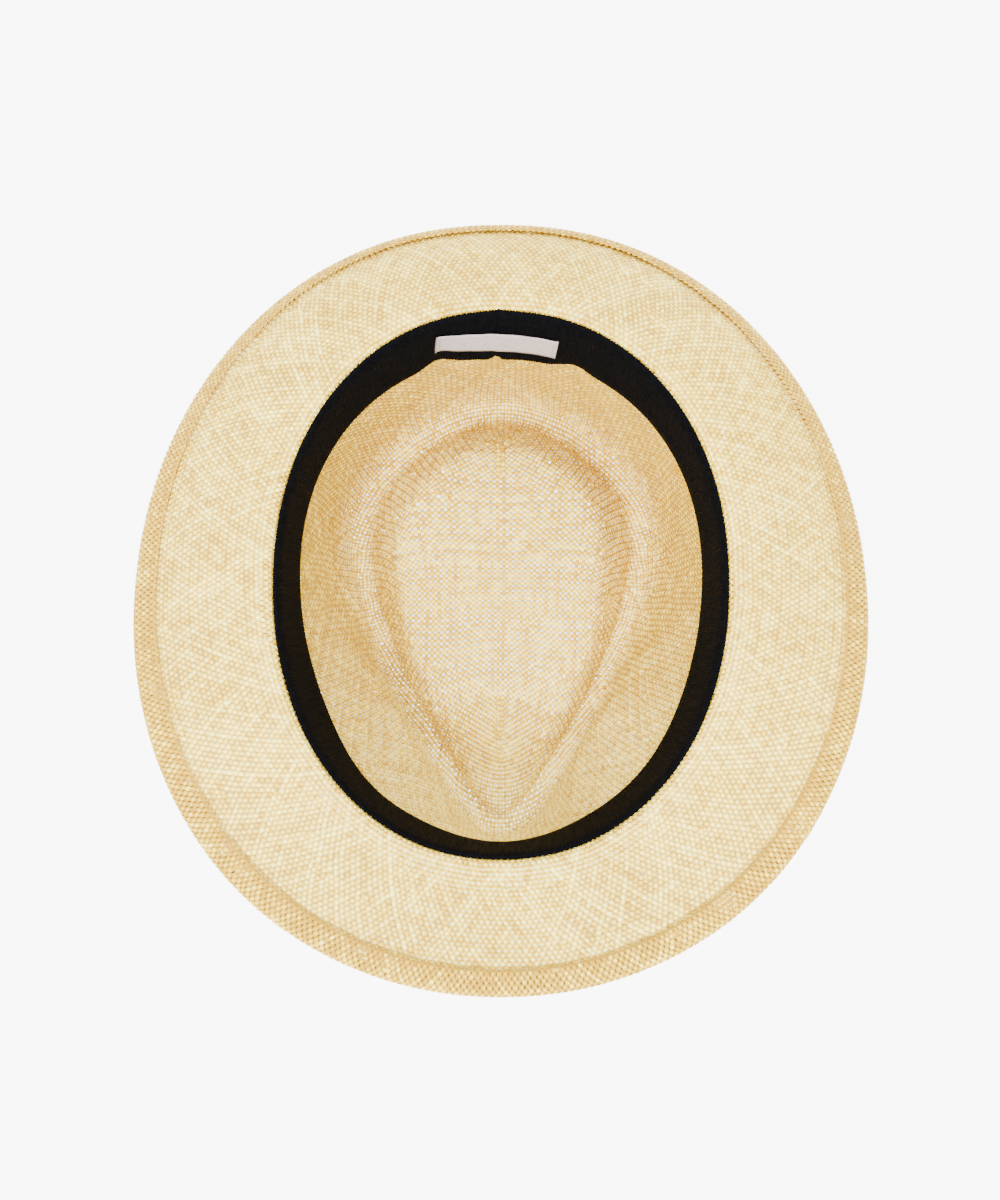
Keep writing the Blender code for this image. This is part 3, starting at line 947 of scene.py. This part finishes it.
def finish_piece(obj, finish, node):
    obj.data.materials.append(finish)
    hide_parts(node)
    print(obj.name, 2 * len(obj.data.polygons), "triangles")
    return obj


def sweatband(finish):
    share, wave = ribbed_shares()
    top, foot = sweatband_sections(share)
    inward = np.column_stack([-outward(oval, share), np.zeros(len(share))])
    aside = (share - LABEL_PLACE)[:, None] * length_round()
    from_notch = np.abs(aside - NOTCH_ASIDE)
    foot = foot - inward * NOTCH_DEPTH * np.clip(1 - from_notch / NOTCH_REACH, 0, 1) ** 2
    up = (top - foot) / np.linalg.norm(top - foot, axis=1, keepdims=True)
    top = top + (0.7 * up - 0.7 * inward) * SEAM_BUMP * np.exp(-((aside / SEAM_BUMP_REACH) ** 2))
    seam = SEAM_DEPTH * np.exp(-((aside / SEAM_REACH) ** 2))

    def line(t):
        flare = TOP_FLARE * max(0, (t - 1 + FLARE_REACH) / FLARE_REACH) ** 2
        return foot + t * (top - foot) + inward * (RIBBON / 2 - flare - seam)

    obj = strip_mesh("sweatband_ribbon", ribbon_rows(line, inward, up, wave), True)
    return finish_piece(obj, finish, "sweatband")


def hatband(finish):
    share, wave = ribbed_shares()
    out = np.column_stack([outward(oval, share), np.zeros(len(share))])
    up = np.broadcast_to((0.0, 0.0, 1.0), out.shape)
    foot = CROWN_HEIGHT - HATBAND_BASE - HATBAND_HEIGHT

    def line(t):
        height = foot + t * HATBAND_HEIGHT
        return ring(wall_plan(share, height, -BAND_GAP - RIBBON / 2), height)

    obj = strip_mesh("hatband_ribbon", ribbon_rows(line, out, up, wave), True)
    return finish_piece(obj, finish, "hatband")


def bow_outline(t):
    from_knot = np.abs(2 * t - 1)
    return BOW_HEIGHT * (BOW_WAIST + (1 - BOW_WAIST) * np.minimum(1, from_knot / BOW_SPREAD))


def bow_face(t, lift, off):
    """Points of the bow: t along it, lift up from its middle and off out from the straw."""
    share = 1 - BOW_PLACE / 2 + (t - 0.5) * BOW_LENGTH / length_round()
    height = CROWN_HEIGHT - HATBAND_BASE - HATBAND_HEIGHT / 2 + lift
    return ring(wall_plan(share, height, -off), height)


def layer_mesh(name, middle, half, closed):
    """A ribbon from its middle surface, steps along by points across, and half its thickness."""
    if closed:
        along = np.roll(middle, -1, axis=0) - np.roll(middle, 1, axis=0)
    else:
        along = np.gradient(middle, axis=0)
    normal = np.cross(along, np.gradient(middle, axis=1))
    normal /= np.linalg.norm(normal, axis=2, keepdims=True)
    move = half[:, None, None] * normal
    rows = np.concatenate([middle - move, (middle + move)[:, ::-1]], axis=1)
    return strip_mesh(name, rows, closed)


def puff(t):
    """How full the loops are at t along the bow: both from nothing up to 1."""
    return np.clip(1 - (2 * np.abs(2 * t - 1) - 1) ** 2, 0, 1)


def bow(finish):
    near = BAND_GAP + RIBBON + GAP
    end, radius, puffed = 0.012, 0.0006, 0.0023
    pleat_depth, pleats, pleat_reach, sagged = 0.00045, 2.5, 0.009, 0.0007
    steps = int(round(BOW_LENGTH / RIB)) * 4
    t = np.linspace(end, 1 - end, steps)
    turn = np.linspace(0, math.pi, 10)[1:-1]
    end_t = end * np.sin(turn)
    along = np.concatenate([t, t[-1] + end_t, t[::-1], t[0] - end_t])
    middle_off = near + GAP + radius
    front = middle_off + radius + puffed * puff(t)
    back = np.full(steps, middle_off - radius)
    ends = middle_off + radius * np.cos(turn)
    off = np.concatenate([front, ends, back, ends[::-1]])
    on_front = np.concatenate([np.ones(steps), np.zeros(len(along) - steps)])
    tall = bow_outline(along)
    by_knot = np.exp(-np.abs(along - 0.5) * BOW_LENGTH / pleat_reach) * on_front
    across = []
    for lift in np.linspace(-0.5, 0.5, 13):
        pleat = pleat_depth * np.cos(2 * math.pi * pleats * lift) * by_knot
        sag = sagged * puff(along) * (2 * lift) ** 4 * on_front
        across.append(bow_face(along, lift * tall, off + pleat - sag))
    wave = np.cos(math.pi / 2 * np.arange(len(along)))
    loops = layer_mesh("bow_loops", np.stack(across, axis=1), 0.00027 + 0.00005 * wave, True)
    finish_piece(loops, finish, "bow")


def knot(finish):
    near = BAND_GAP + RIBBON + GAP
    past_loops, close, rise, rounded = 0.0004, 0.0006, 0.0035, 0.0005
    steps = 96
    turn = np.linspace(-math.pi / 2, math.pi / 2, steps)
    tall = BOW_HEIGHT * BOW_WAIST / 2 + past_loops
    lift = tall * np.sign(np.sin(turn)) * np.abs(np.sin(turn)) ** 0.6
    off = near + close + rise * np.abs(np.cos(turn)) ** 0.5
    across = []
    for place in np.linspace(-0.5, 0.5, 9):
        round_off = rounded * (2 * abs(place)) ** 4
        where = np.full(steps, 0.5 + place * KNOT_WIDTH / BOW_LENGTH)
        across.append(bow_face(where, lift, off - round_off))
    wave = np.cos(math.pi / 2 * np.arange(steps))
    obj = layer_mesh("bow_knot", np.stack(across[::-1], axis=1), 0.00035 + 0.00005 * wave, False)
    finish_piece(obj, finish, "bow")


def label_face(share, t, off):
    """Points of the label: t up it from its lower edge and off in from the sweatband."""
    top, foot = sweatband_sections(share)
    out = np.column_stack([outward(oval, share), np.zeros(len(share))])
    slope = (top - foot) / np.linalg.norm(top - foot, axis=1, keepdims=True)
    place = (share - LABEL_PLACE) * length_round() / (LABEL_LENGTH / 2)
    lifted = LABEL_LIFTS[0] + LABEL_LIFTS[1] * place + LABEL_LIFTS[2] * place**2
    rise = (LABEL_SET_BACK + lifted + t * LABEL_SHOWN * LABEL_HEIGHT)[:, None]
    return foot + rise * slope - (RIBBON + GAP + off)[:, None] * out


def label_along(place, t):
    """Lengths along the label at place of its half and t up it; its left end leans out."""
    lean, less, shorter = 0.0019, 0.0003, 0.0007
    left, right = (1 + place) / 2, (1 - place) / 2
    return place * LABEL_LENGTH / 2 + (lean * (1 - t) - less) * left + shorter * right


def label(finish):
    place = np.linspace(-1, 1, 61)
    near, far = [], []
    for t in np.linspace(0, 1, 11):
        corner = np.abs(place) ** 18 * (2 * t - 1) ** 4
        at = label_along(place, t)
        wave = 0.012 * np.cos(7 * place) + 0.010 * np.sin(16 * place)
        rise = t + wave * (2 * t - 1) ** 2 + 0.05 * corner * np.sign(t - 0.5)
        share = LABEL_PLACE + at / length_round()
        off = 0.0002 + 0.0003 * corner
        near.append(label_face(share, rise, off))
        far.append(label_face(share, rise, off + 0.0004))
    obj = strip_mesh("label_tape", np.stack(near + far[::-1], axis=1))
    finish_piece(obj, finish, "size_label")


def label_stitches(thread):
    from_end, half_width, half_height = 0.0016, 0.00008, 0.022
    stitches_in_row = 14
    rows, quads = [], []
    for side in (-1, 1):
        for k in range(stitches_in_row):
            low = (k + 0.5) / stitches_in_row
            at = label_along(side * (1 - from_end / (LABEL_LENGTH / 2)), low)
            share = np.full(2, LABEL_PLACE + at / length_round())
            share += np.array([-1, 1]) * half_width / length_round()
            corners = []
            for off in (0.00055, 0.0008):
                for t in (low - half_height, low + half_height):
                    corners.append(label_face(share, np.full(2, t), np.full(2, off)))
            base = 8 * len(rows)
            rows.append(np.concatenate(corners))
            quads += [[base + i for i in face] for face in BOX_FACES]
    stitches = build_mesh("label_stitches", np.concatenate(rows), quads)
    finish_piece(stitches, thread, "size_label")


def oval_mask(nodes, links, place, oval_sizes, limits):
    """Rises from 0 to 1 between two sizes of an oval round the place under the brim."""
    middle, half_width, half_length = oval_sizes
    steps = (("SUBTRACT", (0, middle, 0)), ("DIVIDE", (half_width, half_length, 1)))
    for operation, by in steps:
        changed = nodes.new("ShaderNodeVectorMath")
        changed.operation = operation
        changed.inputs[1].default_value = by
        links.new(place, changed.inputs[0])
        place = changed.outputs["Vector"]
    length = nodes.new("ShaderNodeVectorMath")
    length.operation = "LENGTH"
    links.new(place, length.inputs[0])
    mask = nodes.new("ShaderNodeMapRange")
    mask.inputs["From Min"].default_value, mask.inputs["From Max"].default_value = limits
    links.new(length.outputs["Value"], mask.inputs["Value"])
    return mask.outputs["Result"]


def floor():
    mesh = bpy.data.meshes.new("floor")
    corners = ((-1, -1), (1, -1), (1, 1), (-1, 1))
    mesh.from_pydata([(x * FLOOR_HALF, y * FLOOR_HALF, 0) for x, y in corners], [], [(0, 1, 2, 3)])
    made, tree, shader = new_material("pale_floor", (0.3, 0.3, 0.3), 0.9)
    nodes, links = tree.nodes, tree.links
    place = nodes.new("ShaderNodeTexCoord").outputs["Object"]
    under = ramp(nodes, ((0.0, CROWN_SHADE), (1.0, BRIM_SHADE)))
    links.new(oval_mask(nodes, links, place, SHADE_INNER, INNER_FADE), under.inputs["Fac"])
    shade = nodes.new("ShaderNodeMix")
    shade.data_type = "RGBA"
    links.new(oval_mask(nodes, links, place, SHADE_OUTER, OUTER_FADE), shade.inputs[0])
    shade.inputs[6].default_value = (1, 1, 1, 1)
    links.new(under.outputs["Color"], shade.inputs[7])
    links.new(shade.outputs[2], shader.inputs["Emission Color"])
    shader.inputs["Emission Strength"].default_value = FLOOR_GLOW
    reflected = nodes.new("ShaderNodeVectorMath")
    reflected.operation = "SCALE"
    reflected.inputs["Scale"].default_value = FLOOR_REFLECTS
    links.new(shade.outputs[2], reflected.inputs[0])
    links.new(reflected.outputs["Vector"], shader.inputs["Base Color"])
    mesh.materials.append(made)
    obj = bpy.data.objects.new("floor", mesh)
    bpy.context.scene.collection.objects.link(obj)


def lights():
    world = bpy.data.worlds.new("studio")
    bpy.context.scene.world = world
    world.use_nodes = True
    back = world.node_tree.nodes["Background"]
    back.inputs["Color"].default_value = (1, 1, 1, 1)
    back.inputs["Strength"].default_value = ROOM_LIGHT
    for name, place, size, power in LAMPS:
        lamp = bpy.data.lights.new(name, "AREA")
        lamp.shape = "DISK"
        lamp.size = size
        lamp.energy = power
        obj = bpy.data.objects.new(name, lamp)
        obj.location = place
        aim = Vector(LAMP_TARGET) - Vector(place)
        obj.rotation_euler = aim.to_track_quat("-Z", "Y").to_euler()
        bpy.context.scene.collection.objects.link(obj)


def camera():
    lens = bpy.data.cameras.new("camera")
    lens.sensor_fit = "VERTICAL"
    lens.sensor_height = SENSOR
    lens.lens = FOCAL_LENGTH * SENSOR / PHOTO_HEIGHT
    lens.clip_start = 0.05
    obj = bpy.data.objects.new("camera", lens)
    bpy.context.scene.collection.objects.link(obj)
    bpy.context.scene.camera = obj
    tilt = math.radians(CAMERA_TILT)
    back = Vector((0, -math.cos(tilt), math.sin(tilt)))
    target = Vector((0, SHIFT, CROWN_HEIGHT))
    obj.location = target + CAMERA_DISTANCE * back
    up = Vector((0, math.sin(tilt), math.cos(tilt)))
    aim = target - up * (AIM_BELOW * PIXEL) - Vector((AIM_LEFT * PIXEL, 0, 0))
    obj.rotation_euler = (aim - obj.location).to_track_quat("-Z", "Y").to_euler()


camera()
lights()
floor()
surface = Surface()
straw_finish = straw_material()
black_finish = black_material()
pale_finish = pale_material()
straw(surface, straw_finish)
sweatband(black_finish)
label(pale_finish)
label_stitches(thread_material())
hatband(black_finish)
bow(black_finish)
knot(black_finish)
